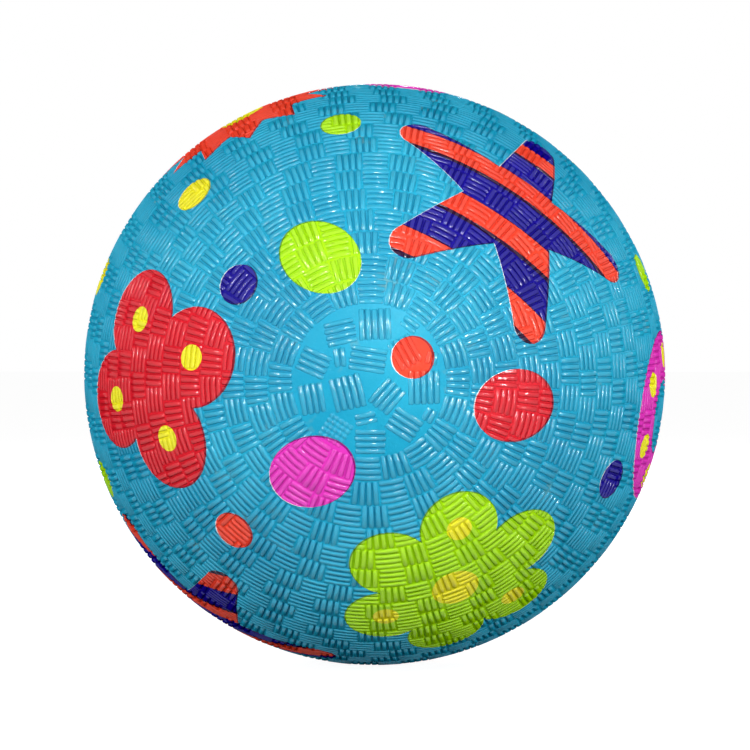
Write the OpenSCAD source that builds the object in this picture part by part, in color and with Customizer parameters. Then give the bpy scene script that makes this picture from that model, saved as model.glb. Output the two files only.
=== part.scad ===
// Rubber playground dodgeball: cover, wound layer, bladder, needle valve and printed pattern.
// The origin is the centre of the ball. +Z is up, the valve looks along +Y, and the plain pole along -Y.

/* [Ball] */
// Diameter of the inflated ball, over the plain surface of its cover
ball_d = 215.9; // [150:0.1:330]
// Thickness of the rubber cover
cover_t = 1.2; // [0.8:0.1:2.4]
// Thickness of the nylon-wound layer
winding_t = 0.5; // [0.3:0.1:1.2]
// Thickness of the butyl bladder
bladder_t = 0.8; // [0.5:0.1:1.6]
// Thickness of the cement between two layers
cement_t = 0.1; // [0.05:0.01:0.2]

/* [Seams] */
// Width of the parting line that the mould leaves round the cover
parting_w = 1.6; // [0.8:0.1:3]
// Height of the parting line above the cover
parting_h = 0.25; // [0.1:0.05:0.6]
// Reach of the bladder's lap on each side of its seam
lap_w = 6; // [3:0.5:12]

/* [Valve pad] */
// Diameter of the smooth pad round the valve, to the middle of its groove
pad_d = 20; // [16:0.5:30]
// Width of the groove that bounds the pad
pad_groove_w = 0.8; // [0.4:0.1:1.6]
// Depth of the groove that bounds the pad
pad_groove_t = 0.4; // [0.2:0.05:0.7]

/* [Valve core] */
// Diameter of the core's head, which shows in the ball's surface
head_d = 8; // [6.5:0.1:10]
// Thickness of the head
head_t = 1.4; // [1:0.1:2]
// Depth that the head's face is dished
dish_t = 0.3; // [0.1:0.05:0.5]
// Diameter of the core's barrel
core_d = 6; // [5:0.1:6.3]
// Length of the barrel below the head
core_len = 16; // [13:0.5:24]
// Height of each retaining rib above the barrel
rib_h = 0.35; // [0.2:0.05:0.6]
// Width of each retaining rib
rib_w = 1.6; // [1:0.1:2.4]
// Length of the taper at the barrel's inner end
nose_len = 2.5; // [1:0.1:4]
// Gap between the core and its seat
core_fit = 0.05; // [0.02:0.01:0.1]

/* [Needle channel] */
// Diameter of the channel that the inflating needle enters
needle_d = 2.2; // [1.8:0.1:2.8]
// Length of the channel's round part
needle_len = 9; // [6:0.5:11]
// Diameter of the funnel at the channel's mouth
funnel_d = 4; // [3:0.1:5]
// Depth of the funnel
funnel_t = 1.2; // [0.8:0.1:1.6]
// Width of the slit that seals the channel's inner end
slit_w = 2.4; // [1.6:0.1:3.2]
// Gap between the slit's lips
slit_t = 0.2; // [0.1:0.05:0.4]

/* [Valve seat] */
// Wall of the seat's neck round the core's head
neck_wall = 1.4; // [0.8:0.1:2.5]
// Wall of the seat's stem round the core's ribs, at the flange
stem_wall = 2.4; // [1.6:0.1:4]
// Wall of the stem at its inner end
stem_tip_wall = 1.5; // [1:0.1:2.5]
// Thickness of the stem's inner end
stem_end_t = 1.5; // [1:0.1:3]
// Diameter of the air outlet through the inner end
outlet_d = 3; // [2:0.1:4]
// Reach of the flange beyond the neck
flange_w = 9; // [6:0.5:14]
// Thickness of the flange at the neck
flange_t = 1.6; // [1.2:0.1:2.5]
// Thickness of the flange at its rim
flange_rim_t = 0.7; // [0.4:0.1:1.1]
// Radius of the fillet between the flange and the stem
seat_fillet = 1.5; // [0.5:0.1:2.5]

/* [Print] */
// Thickness of a printed film
film_t = 0.2; // [0.1:0.02:0.4]
// Gap between a film and the cover
film_gap = 0.05; // [0.02:0.01:0.1]
// Gap between two inks that meet
register_gap = 0.2; // [0.1:0.05:0.5]
// Distance across a star, from its centre to a tip, doubled
star_d = 98; // [70:1:110]
// Diameter of a star's rounded tip
star_tip_d = 13; // [8:0.5:18]
// Distance of a star's inner corners from its centre, doubled
star_waist_d = 38; // [28:1:46]
// Width of a stripe on a star
stripe_w = 9; // [5:0.5:13]
// Distance from one stripe on a star to the next
stripe_pitch = 23; // [18:0.5:30]
// Diameter of a flower's petal
petal_d = 28; // [20:0.5:32]
// Distance of a petal's centre from the middle of its flower
petal_reach = 27; // [21:0.5:31]
// Diameter of a clover's leaf
leaf_d = 35; // [26:0.5:40]
// Distance of a leaf's centre from the middle of its clover
leaf_reach = 22; // [17:0.5:26]
// Outer diameter of a ring
ring_d = 62; // [48:1:74]
// Diameter of a ring's hole
ring_hole_d = 27; // [20:0.5:34]
// Diameter of a sun over its rays
sun_d = 72; // [58:1:84]
// Diameter of a sun at the foot of its rays
sun_body_d = 52; // [44:1:56]
// Diameter of the round eye in a flower or a sun
eye_d = 17; // [12:0.5:22]
// Diameter of a small spot on a petal, leaf or ring
spot_d = 9; // [6:0.5:11]
// Length of a large spot that stands by itself
oval_len = 31; // [22:0.5:37]
// Width of a large spot that stands by itself
oval_w = 25; // [18:0.5:30]
// Diameter of a small spot that stands by itself
dot_d = 14.5; // [10:0.5:17]

/* [Hidden] */
$fn = 120;
// How far a cutting shape runs past what it cuts
overrun = 1;

// Radii of the layers, from the surface inwards
ball_r = ball_d / 2;
cover_in_r = ball_r - cover_t;
winding_r = cover_in_r - cement_t;
winding_in_r = winding_r - winding_t;
bladder_r = winding_in_r - cement_t;
bladder_in_r = bladder_r - bladder_t;
lap_r = bladder_in_r - cement_t;
lap_in_r = lap_r - bladder_t;

// Valve: radii from its axis, and levels along it from the ball's centre
head_r = head_d / 2;
core_r = core_d / 2;
rib_r = core_r + rib_h;
neck_r = head_r + core_fit + neck_wall;
neck_hole_r = neck_r + cement_t;
stem_r = rib_r + core_fit + stem_wall;
stem_tip_r = core_r + core_fit + stem_tip_wall;
flange_r = neck_r + flange_w;
face_y = sqrt(pow(ball_r, 2) - pow(neck_r, 2));
head_y = face_y - head_t;
core_y = head_y - core_len;
seat_y = core_y - core_fit;
stem_end_y = seat_y - stem_end_t;
flange_y = sqrt(pow(lap_r, 2) - pow(stem_r, 2)) - flange_t;
rim_y = sqrt(pow(lap_r, 2) - pow(flange_r, 2)) - flange_rim_t;
slit_y = face_y - funnel_t - needle_len;
// Places of the retaining ribs, as shares of the barrel's length below the head
rib_shares = [0.3, 0.6];

// Print: the films lie between these radii
film_in_r = ball_r + film_gap;
film_r = film_in_r + film_t;
// Level from which a motif's outline is cut through the film, as a share of the ball's radius
motif_low_share = 0.5;
star_points = 5;
stripe_count = 4;
petals = 6;
leaves = 4;
rays = 12;
ring_spots = 6;

// Places on the ball: angle from the plain pole, clock angle seen from that side, and turn of the motif
star_angles = [[46, 40, 8], [80, 214, 40], [139, 98, 20]];
flower_angles = [[47, 158, 10], [106, 37, 0]];
clover_angles = [[46, 270, 20], [106, 157, 65], [138, 334, 10]];
sun_angles = [[82, 333, 0], [139, 213, 15]];
ring_angles = [[80, 98, 0], [106, 270, 25]];
lime_oval_angles = [[25, 338, 30], [110, 308, 60], [114, 190, 80]];
magenta_oval_angles = [[20, 212, -35], [85, 6, 75], [104, 72, 20]];
red_oval_angles = [[28, 100, 15], [113, 239, 50], [112, 359, 0]];
navy_dot_angles = [[31, 306, 0], [59, 113, 0], [113, 127, 0], [156, 262, 0]];
coral_dot_angles = [[9, 62, 0], [41, 222, 0], [95, 296, 0], [144, 26, 0]];
lime_dot_angles = [[57, 353, 0], [77, 249, 0], [77, 69, 0], [142, 164, 0]];
yellow_dot_angles = [[57, 316, 0], [80, 290, 0], [97, 124, 0], [132, 284, 0]];

// Turns a shape that stands on +Z so that it stands on the valve's axis, +Y
module on_valve_axis() {
    rotate([-90, 0, 0]) children();
}

// Section of a layer between two radii and two levels along the valve's axis
module layer_section(outer_r, inner_r, low_y, high_y) {
    intersection() {
        difference() {
            circle(r = outer_r);
            circle(r = inner_r);
        }
        translate([0, low_y]) square([outer_r + overrun, high_y - low_y]);
    }
}

// Section of the hole that the valve's neck passes through
module neck_hole_section() {
    square([neck_hole_r, ball_r + parting_h + overrun]);
}

// Section of the parting line on the +Y side
module parting_section() {
    translate([cover_in_r, 0]) square([cover_t + parting_h, parting_w / 2]);
}

module pad_groove_section() {
    groove_y = sqrt(pow(ball_r, 2) - pow(pad_d / 2, 2)) - pad_groove_t;
    translate([pad_d / 2 - pad_groove_w / 2, groove_y]) square([pad_groove_w, pad_groove_t + overrun]);
}

module cover_front() {
    color([0.16, 0.66, 0.80])
        on_valve_axis()
            mirror([0, 0, 1])
                rotate_extrude() {
                    layer_section(ball_r, cover_in_r, 0, ball_r + overrun);
                    parting_section();
                }
}

module cover_back() {
    color([0.16, 0.66, 0.80])
        on_valve_axis()
            rotate_extrude()
                difference() {
                    union() {
                        layer_section(ball_r, cover_in_r, 0, ball_r + overrun);
                        parting_section();
                    }
                    neck_hole_section();
                    pad_groove_section();
                }
}

module winding() {
    color([0.86, 0.84, 0.76])
        on_valve_axis()
            rotate_extrude()
                difference() {
                    layer_section(winding_r, winding_in_r, -winding_r - overrun, winding_r + overrun);
                    neck_hole_section();
                }
}

// The front half carries the lap, which lies inside the back half
module bladder_front() {
    color([0.10, 0.10, 0.11])
        on_valve_axis()
            rotate_extrude() {
                layer_section(bladder_r, bladder_in_r, -bladder_r - overrun, 0);
                layer_section(bladder_r, lap_in_r, -lap_w, 0);
                layer_section(lap_r, lap_in_r, -lap_w, lap_w);
            }
}

module bladder_back() {
    color([0.13, 0.13, 0.14])
        on_valve_axis()
            rotate_extrude()
                difference() {
                    layer_section(bladder_r, bladder_in_r, 0, bladder_r + overrun);
                    neck_hole_section();
                }
}

// Stem and flange. The flange is bonded to the bladder's inner face and is thinner at its rim
module stem_section() {
    intersection() {
        circle(r = lap_r);
        polygon([
            [0, stem_end_y], [stem_tip_r, stem_end_y], [stem_r, flange_y - seat_fillet],
            [stem_r + seat_fillet, flange_y], [flange_r, rim_y], [flange_r, lap_r], [0, lap_r]
        ]);
    }
}

// Rounds the corner between the stem and the flange
module stem_fillet_section() {
    translate([stem_r + seat_fillet, flange_y - seat_fillet]) circle(r = seat_fillet, $fn = 48);
}

// The space for the core, a gap wider than the core all round
module core_space_section() {
    space_r = core_r + core_fit;
    rib_space_r = rib_r + core_fit;
    rib_half = rib_w / 2 + core_fit;
    polygon([
        [0, face_y + overrun], [head_r + core_fit, face_y + overrun],
        [head_r + core_fit, head_y - core_fit], [space_r, head_y - core_fit],
        for (rib_share = rib_shares)
            let (rib_y = head_y - core_len * rib_share)
            each [[space_r, rib_y + rib_half], [rib_space_r, rib_y + rib_half],
                  [rib_space_r, rib_y - rib_half], [space_r, rib_y - rib_half]],
        [space_r, seat_y], [outlet_d / 2, seat_y], [outlet_d / 2, stem_end_y - overrun],
        [0, stem_end_y - overrun]
    ]);
}

module valve_seat() {
    color([0.20, 0.20, 0.21])
        on_valve_axis()
            rotate_extrude()
                difference() {
                    union() {
                        stem_section();
                        translate([0, flange_y]) square([neck_r, face_y - flange_y]);
                    }
                    stem_fillet_section();
                    core_space_section();
                }
}

// Head, barrel, ribs and nose of the core, solid
module core_section() {
    rib_half = rib_w / 2;
    polygon([
        [0, face_y], [head_r, face_y], [head_r, head_y], [core_r, head_y],
        for (rib_share = rib_shares)
            let (rib_y = head_y - core_len * rib_share)
            each [[core_r, rib_y + rib_half], [rib_r, rib_y + rib_half],
                  [rib_r, rib_y - rib_half], [core_r, rib_y - rib_half]],
        [core_r, core_y + nose_len], [core_r - nose_len / 4, core_y], [0, core_y]
    ]);
}

// The head is dished between its rim and the funnel
module dish_section() {
    rim_r = head_r - dish_t * 2;
    polygon([[0, face_y + overrun], [rim_r + dish_t, face_y + overrun], [rim_r + dish_t, face_y],
             [rim_r, face_y - dish_t], [0, face_y - dish_t]]);
}

module funnel_section() {
    mouth_y = face_y - dish_t;
    funnel_end_y = face_y - funnel_t;
    polygon([[0, mouth_y + overrun], [funnel_d / 2, mouth_y + overrun], [funnel_d / 2, mouth_y],
             [needle_d / 2, funnel_end_y], [0, funnel_end_y]]);
}

module valve_core() {
    color([0.08, 0.08, 0.09])
        on_valve_axis()
            difference() {
                rotate_extrude() core_section();
                rotate_extrude() dish_section();
                rotate_extrude() funnel_section();
                translate([0, 0, slit_y]) cylinder(d = needle_d, h = needle_len + overrun, $fn = 48);
                translate([-slit_w / 2, -slit_t / 2, core_y - overrun])
                    cube([slit_w, slit_t, slit_y - core_y + overrun * 2]);
            }
}

// Carries an outline drawn about the origin to its place on the ball, looking outwards
module at_place(place) {
    rotate([90, 0, 0])
        rotate([0, 0, -place[1]])
            rotate([-place[0], 0, 0])
                rotate([0, 0, place[2]])
                    children();
}

// The parting line with a gap on each side, where no film lies
module parting_space() {
    space_w = parting_w + film_gap * 2;
    on_valve_axis() translate([0, 0, -space_w / 2]) cylinder(r = film_r + overrun, h = space_w);
}

// Cuts an outline out of the film at one place
module printed(place) {
    difference() {
        at_place(place)
            intersection() {
                difference() {
                    sphere(r = film_r);
                    sphere(r = film_in_r);
                }
                translate([0, 0, ball_r * motif_low_share])
                    linear_extrude(height = film_r)
                        children();
            }
        parting_space();
    }
}

function on_circle(r, angle) = [r * cos(angle), r * sin(angle)];

// Points round a star's tip, from one side of its arm to the other
function tip_points(angle) =
    [for (turn = [-90 : 15 : 90])
        on_circle(star_d / 2 - star_tip_d / 2, angle) + on_circle(star_tip_d / 2, angle + turn)];

module star_outline() {
    step = 360 / star_points;
    polygon([
        for (i = [0 : star_points - 1])
            each concat(tip_points(90 + i * step), [on_circle(star_waist_d / 2, 90 + (i + 0.5) * step)])
    ]);
}

function stripe_low(index) = (index - (stripe_count - 1) / 2) * stripe_pitch - stripe_w / 2;

// A band right across a star, between two levels
module band(low, high) {
    translate([-star_d, low]) square([star_d * 2, high - low]);
}

module stripes_outline() {
    for (i = [0 : stripe_count - 1]) band(stripe_low(i), stripe_low(i) + stripe_w);
}

// What the stripes leave of a star, with a gap to each stripe
module ground_outline() {
    for (i = [0 : stripe_count])
        band(i == 0 ? -star_d : stripe_low(i - 1) + stripe_w + register_gap,
             i == stripe_count ? star_d : stripe_low(i) - register_gap);
}

module flower_outline() {
    circle(r = petal_reach);
    for (i = [0 : petals - 1])
        translate(on_circle(petal_reach, i * 360 / petals)) circle(d = petal_d, $fn = 72);
}

// The eye of a flower and the spots on every second petal
module flower_spots_outline(extra) {
    circle(d = eye_d + extra * 2, $fn = 72);
    for (i = [0 : 2 : petals - 1])
        translate(on_circle(petal_reach, i * 360 / petals)) circle(d = spot_d + extra * 2, $fn = 48);
}

module clover_outline() {
    circle(r = leaf_reach);
    for (i = [0 : leaves - 1])
        translate(on_circle(leaf_reach, i * 360 / leaves)) circle(d = leaf_d, $fn = 72);
}

module clover_spots_outline(extra) {
    for (i = [0 : leaves - 1])
        translate(on_circle(leaf_reach, i * 360 / leaves)) circle(d = spot_d + extra * 2, $fn = 48);
}

module sun_outline() {
    polygon([
        for (i = [0 : rays * 2 - 1]) on_circle((i % 2 == 0 ? sun_d : sun_body_d) / 2, i * 180 / rays)
    ]);
}

module ring_outline() {
    difference() {
        circle(d = ring_d);
        circle(d = ring_hole_d, $fn = 72);
    }
}

module ring_spots_outline(extra) {
    reach = (ring_d + ring_hole_d) / 4;
    for (i = [0 : ring_spots - 1])
        translate(on_circle(reach, i * 360 / ring_spots)) circle(d = spot_d + extra * 2, $fn = 48);
}

// A large spot, egg-round, as a formula of its length and width
module oval_outline() {
    polygon([for (a = [0 : 7.5 : 352.5]) [oval_w / 2 * cos(a), oval_len / 2 * sin(a)]]);
}

module ink_navy() {
    color([0.06, 0.03, 0.52]) {
        for (place = star_angles)
            printed(place)
                intersection() {
                    star_outline();
                    ground_outline();
                }
        for (place = navy_dot_angles) printed(place) circle(d = dot_d, $fn = 72);
    }
}

module ink_coral() {
    color([1.0, 0.30, 0.18]) {
        for (place = star_angles)
            printed(place)
                intersection() {
                    star_outline();
                    stripes_outline();
                }
        for (place = sun_angles)
            printed(place)
                difference() {
                    sun_outline();
                    circle(d = eye_d + register_gap * 2, $fn = 72);
                }
        for (place = coral_dot_angles) printed(place) circle(d = dot_d, $fn = 72);
    }
}

module ink_lime() {
    color([0.65, 0.90, 0.03]) {
        for (place = flower_angles)
            printed(place)
                difference() {
                    flower_outline();
                    flower_spots_outline(register_gap);
                }
        for (place = lime_oval_angles) printed(place) oval_outline();
        for (place = lime_dot_angles) printed(place) circle(d = dot_d, $fn = 72);
    }
}

module ink_yellow() {
    color([1.0, 0.96, 0.18]) {
        for (place = flower_angles) printed(place) flower_spots_outline(0);
        for (place = clover_angles) printed(place) clover_spots_outline(0);
        for (place = ring_angles) printed(place) ring_spots_outline(0);
        for (place = sun_angles) printed(place) circle(d = eye_d, $fn = 72);
        for (place = yellow_dot_angles) printed(place) circle(d = dot_d, $fn = 72);
    }
}

module ink_red() {
    color([0.92, 0.14, 0.20]) {
        for (place = clover_angles)
            printed(place)
                difference() {
                    clover_outline();
                    clover_spots_outline(register_gap);
                }
        for (place = red_oval_angles) printed(place) oval_outline();
    }
}

module ink_magenta() {
    color([0.93, 0.22, 0.76]) {
        for (place = ring_angles)
            printed(place)
                difference() {
                    ring_outline();
                    ring_spots_outline(register_gap);
                }
        for (place = magenta_oval_angles) printed(place) oval_outline();
    }
}

cover_front();
cover_back();
winding();
bladder_front();
bladder_back();
valve_seat();
valve_core();
ink_navy();
ink_coral();
ink_lime();
ink_yellow();
ink_red();
ink_magenta();
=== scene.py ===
import math

import bpy
import numpy as np
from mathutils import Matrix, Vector
from mathutils.geometry import delaunay_2d_cdt


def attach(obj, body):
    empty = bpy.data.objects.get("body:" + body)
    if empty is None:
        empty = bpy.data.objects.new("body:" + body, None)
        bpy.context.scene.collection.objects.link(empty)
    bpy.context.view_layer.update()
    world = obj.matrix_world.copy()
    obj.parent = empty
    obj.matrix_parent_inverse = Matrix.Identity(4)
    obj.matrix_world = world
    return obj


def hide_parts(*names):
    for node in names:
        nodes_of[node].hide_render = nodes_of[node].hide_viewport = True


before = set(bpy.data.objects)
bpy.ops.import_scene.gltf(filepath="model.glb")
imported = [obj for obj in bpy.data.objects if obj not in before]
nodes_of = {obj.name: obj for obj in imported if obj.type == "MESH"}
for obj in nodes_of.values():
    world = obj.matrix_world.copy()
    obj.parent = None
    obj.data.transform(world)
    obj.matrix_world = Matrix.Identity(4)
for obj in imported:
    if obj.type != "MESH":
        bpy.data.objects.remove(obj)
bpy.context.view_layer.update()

# Lengths are in millimetres until a mesh is written, which is in metres
MM = 0.001
FULL_TURN = 2 * math.pi

# Sizes that part.scad has too
BALL_R = 107.95
COVER_IN_R = 106.75
PARTING_W = 1.6
PARTING_H = 0.25
PAD_D = 20.0
PAD_GROOVE_W = 0.8
PAD_GROOVE_T = 0.4
NECK_HOLE_R = 5.55
FILM_GAP = 0.05

# The moulded weave: blocks of parallel ribs in rings round the pole
FLOOR_DEPTH = 0.20
FLOOR_R = BALL_R - FLOOR_DEPTH
RIB_H = 0.40
RIB_FOOT = 1.90
RIB_TOP = 1.30
GROOVE = 0.18
RIB_END = 0.48
NOSE_SHARE = 0.62
BLOCK_GAP = 0.25
CAP_DEG = 13.9
PAD_RING_DEG = 6.0
RING_COUNT = 16
BLOCK_W = 9.3
WEAVE_END_DEG = 90 - math.degrees((PARTING_W / 2) / BALL_R)

# Across a rib: where its feet and shoulders lie, and how high they are. Along it: which points are raised
RIB_LINES = np.array([-RIB_FOOT / 2, -RIB_TOP / 2, RIB_TOP / 2, RIB_FOOT / 2])
RIB_LIFT = np.array([0.0, 1.0, 1.0, 0.0])
RIB_RAISED = np.array([0.0, 1.0, 1.0, 1.0, 0.0])

# How ribs and blocks differ, as lowest and highest. Heights and widths are shares, and turns are degrees
RIB_SHIFTS = (-0.05, 0.05)
RIB_LONGER = (-0.16, 0.10)
RIB_HEIGHTS = (0.88, 1.06)
RIB_WIDTHS = (0.88, 1.04)
RIB_UNEVEN = (0.92, 1.06)
BLOCK_HEIGHTS = (0.86, 1.0)
BLOCK_TURNS = (-1.9, 1.9)
BLOCK_ROUND = (-0.1, 0.1)
BLOCK_OUT = (-0.08, 0.08)

# The block that was struck twice: width of its ribs, how far its rim lies from them, and its height
STRUCK_RIB = 0.85
STRUCK_RIM = 0.3
STRUCK_LIFT = 0.45

# Blocks round the plain pole: place to the right and up, angle of the ribs, their
# length and number, and whether it was struck twice. Those that would touch are pushed apart
POLE_BLOCKS = [
    (-0.2, 5.8, -9, 12.4, 4, False), (-8.4, -5.0, 104, 11.6, 5, False), (4.2, -6.2, 50, 10.6, 4, False),
    (16.8, -2.8, 91, 11.8, 5, False), (12.8, 10.6, 119, 10.6, 4, False), (2.8, 18.4, 92, 10.8, 5, False),
    (-9.6, 16.0, 13, 10.6, 4, False), (-17.8, 5.8, -24, 10.4, 4, False), (-19.4, -5.5, 100, 10.4, 4, False),
    (-12.2, -17.2, -33, 9.0, 5, True), (1.0, -20.4, 0, 10.6, 4, False), (13.4, -14.6, -33, 10.8, 4, False),
    (-1.4, -12.2, 14, 7.4, 2, False), (-9.6, 7.0, 97, 6.6, 2, False), (13.2, 18.8, -36, 6.0, 2, False),
    (20.6, 8.6, 74, 5.0, 2, False), (20.4, -13.2, 60, 5.0, 2, False),
]
POLE_PITCH = 2.22
# Room kept round a pole block, along and across its ribs, and round the one that was struck twice
ROOM_ALONG = 0.15
ROOM_ACROSS = 0.10
ROOM_STRUCK = 0.40
BLOCKS_APART = 0.15
POLE_REACH = 25.9
PUSHES = 400
PUSH_SHARE = 0.25
# These blocks' height as a share, and the floor's points: their spacing, and the least way to rim and block
POLE_LIFT = 0.92
FLOOR_STEP = 2.4
FLOOR_TO_RIM = 0.6
FLOOR_TO_BLOCK = 1.0
# Points of the floor nearer than this are one point
WELD = 1e-6

# Points round the parting bead, the valve pad and the inner face, and the inner face's rings
BEAD_POINTS = 480
PAD_POINTS = 144
LINING_POINTS = 120
LINING_RINGS = 13
LINING_END_DEG = 7.5
# The parting bead from the weave outwards: degrees past the weave's end, and how high it is there
BEAD_FOOT = (0.1, 0.16)
BEAD_SHOULDER = (0.24, PARTING_H * 0.85)
# The pad's groove: how far its outer foot, its sloping walls and its rounded edges reach
PAD_FOOT, PAD_SLOPE, PAD_ROUND = 0.25, 0.15, 0.06
# A loop of points on the pad, and how far the hole's rounded rim reaches outwards and down
PAD_LOOP_R = 7.6
HOLE_ROUND = (0.12, 0.1)
FRONT_SEED, BACK_SEED = 11, 29

# Edges sharper than this are sharp everywhere, or only along a rib's foot
CORNER_DEG, FOOT_DEG = 75, 24
# Points nearer than this to a surface belong to it
NEAR = 0.01

# Middles and sizes of the flat map's discs
SKIN_DISC = ((0.5, 0.5), 0.49)
EDGE_DISC = ((0.5, 0.5), 0.497)
HOLE_DISC = ((0.5, 0.5), 0.40)
LINING_DISC = ((0.075, 0.075), 0.068)
# The same for a film's front half, with the way from it to the back half's disc, and the underside's share
FILM_DISC = ((0.25, 0.25), 0.24)
BACK_SHIFT = (0.5, 0.5)
UNDERSIDE_SHARE = 0.999


def ball_points(polar, clock, radius, side=-1):
    """Places on the ball from pole angle, clock angle and radius. The plain pole's side is -1."""
    out = radius * np.sin(polar)
    return np.stack([out * np.sin(clock), side * radius * np.cos(polar), out * np.cos(clock)], -1)


class Shell:
    """The points and faces of one mould half, by polar angle, clock angle and radius."""

    def __init__(self):
        self.blocks, self.count = [], 0
        self.skin, self.quads, self.wall, self.lining, self.hole = [], [], [], [], []

    def add(self, polar, clock, radius):
        polar, clock, radius = np.broadcast_arrays(polar, clock, radius)
        ids = self.count + np.arange(polar.size).reshape(polar.shape)
        self.blocks.append(np.stack([polar.ravel(), clock.ravel(), radius.ravel()], -1).astype(float))
        self.count += polar.size
        return ids

    def circle(self, polar, radius, count):
        clock = np.arange(count) * FULL_TURN / count
        return self.add(polar, clock, radius), clock

    def points(self):
        return np.concatenate(self.blocks)


def grid_quads(ids):
    return np.stack([ids[:-1, :-1], ids[1:, :-1], ids[1:, 1:], ids[:-1, 1:]], -1).reshape(-1, 4)


def zip_rows(first, first_at, second, second_at):
    """Triangles between two rows of points, taken in order of their places along the rows."""
    i = j = 0
    made = []
    while i < len(first) - 1 or j < len(second) - 1:
        if j == len(second) - 1 or (i < len(first) - 1 and first_at[i + 1] <= second_at[j + 1]):
            made.append((first[i], first[i + 1], second[j]))
            i += 1
        else:
            made.append((first[i], second[j + 1], second[j]))
            j += 1
    return made


def zip_loops(one, other):
    """Triangles between two closed loops, each given as its points and their clock angles."""
    (ids_a, at_a), (ids_b, at_b) = one, other
    at_b = at_a[0] + (at_b - at_a[0]) % FULL_TURN
    order = np.argsort(at_b)
    ids_b, at_b = ids_b[order], at_b[order]
    return zip_rows(np.append(ids_a, ids_a[0]), np.append(at_a, at_a[0] + FULL_TURN),
                    np.append(ids_b, ids_b[0]), np.append(at_b, at_b[0] + FULL_TURN))


def rib_grid(rng, pitch, length, ribs=4):
    """Points of a block of ribs with narrow ends and sunk grooves between them: across, along, and height."""
    lines = len(RIB_LINES)
    centres = (np.arange(ribs) - (ribs - 1) / 2) * pitch + rng.uniform(*RIB_SHIFTS, ribs)
    half = np.repeat(length / 2 + rng.uniform(*RIB_LONGER, ribs), lines)[:, None]
    lift = np.repeat(rng.uniform(*RIB_HEIGHTS, ribs), lines)
    narrow = np.array([NOSE_SHARE, 1, 1, 1, NOSE_SHARE])
    wide = np.repeat(rng.uniform(*RIB_WIDTHS, ribs), lines)
    across = np.repeat(centres, lines)[:, None] + (np.tile(RIB_LINES, ribs) * wide)[:, None] * narrow
    along = np.concatenate([-half, -half + RIB_END, half * 0, half - RIB_END, half], 1)
    uneven = np.repeat(rng.uniform(*RIB_UNEVEN, (ribs, len(narrow))), lines, 0)
    height = (np.tile(RIB_LIFT, ribs) * lift)[:, None] * RIB_RAISED * uneven * RIB_H
    height[lines - 1:-1:lines, 1:-1] -= GROOVE
    height[lines::lines, 1:-1] -= GROOVE
    return across, along, height


def waffle_grid(pitch, length, ribs):
    """Points of a block that was struck twice, so that its ribs cross."""
    centres = (np.arange(ribs) - (ribs - 1) / 2) * pitch
    lines = np.repeat(centres, len(RIB_LINES)) + np.tile(RIB_LINES * STRUCK_RIB, ribs)
    lines = lines * length / ((ribs - 1) * pitch + RIB_FOOT)
    rim = lines[-1] + STRUCK_RIM
    lines = np.concatenate([[-rim], lines, [rim]])
    lift = np.concatenate([[0], np.tile(RIB_LIFT, ribs), [0]])
    across, along = np.meshgrid(lines, lines, indexing="ij")
    height = (lift[:, None] + lift[None, :]) * STRUCK_LIFT
    height[0], height[-1], height[:, 0], height[:, -1] = 0, 0, 0, 0
    return across, along, height * RIB_H


def turned(x, y, degrees):
    c, s = math.cos(math.radians(degrees)), math.sin(math.radians(degrees))
    return x * c - y * s, x * s + y * c


def weave_ring(shell, rng, low, high, count, phase):
    """One ring of blocks between two polar angles, in degrees. Returns its inner and outer loops."""
    middle = math.radians((low + high) / 2)
    cell_round = FULL_TURN * BALL_R * math.sin(middle) / count
    cell_out = BALL_R * math.radians(high - low)
    loops, sides = ([], []), []
    for k in range(count):
        spokes = k % 2 == 0
        wide, long = (cell_round, cell_out) if spokes else (cell_out, cell_round)
        across, along, height = rib_grid(rng, wide / 4, long - BLOCK_GAP)
        height = height * rng.uniform(*BLOCK_HEIGHTS)
        x, y = turned(*((across, along) if spokes else (along, across)), rng.uniform(*BLOCK_TURNS))
        x, y = x + rng.uniform(*BLOCK_ROUND), y + rng.uniform(*BLOCK_OUT)
        polar = middle + y / BALL_R
        clock = phase + FULL_TURN * (k + 0.5) / count + x / (BALL_R * math.sin(middle))
        ids = shell.add(polar, clock, FLOOR_R + height)
        shell.quads.append(grid_quads(ids))
        edges = [np.s_[:, 0], np.s_[:, -1], np.s_[0], np.s_[-1]]
        inner, outer, left, right = edges if spokes else edges[2:] + edges[:2]
        for loop, edge in zip(loops, (inner, outer)):
            loop.append((ids[edge], clock[edge]))
        sides.append(((ids[left], polar[left]), (ids[right], polar[right])))
    for k in range(count):
        shell.skin += zip_rows(*sides[k][1], *sides[(k + 1) % count][0])
    return [tuple(np.concatenate(part) for part in zip(*loop)) for loop in loops]


def inside(points, outline):
    """Which points lie inside a closed outline."""
    x, y = points[:, 0][:, None], points[:, 1][:, None]
    a, b = outline, np.roll(outline, -1, 0)
    crosses = (a[:, 1] > y) != (b[:, 1] > y)
    at = a[:, 0] + (y - a[:, 1]) * (b[:, 0] - a[:, 0]) / np.where(b[:, 1] == a[:, 1], 1, b[:, 1] - a[:, 1])
    return (crosses & (x < at)).sum(1) % 2 == 1


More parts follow.
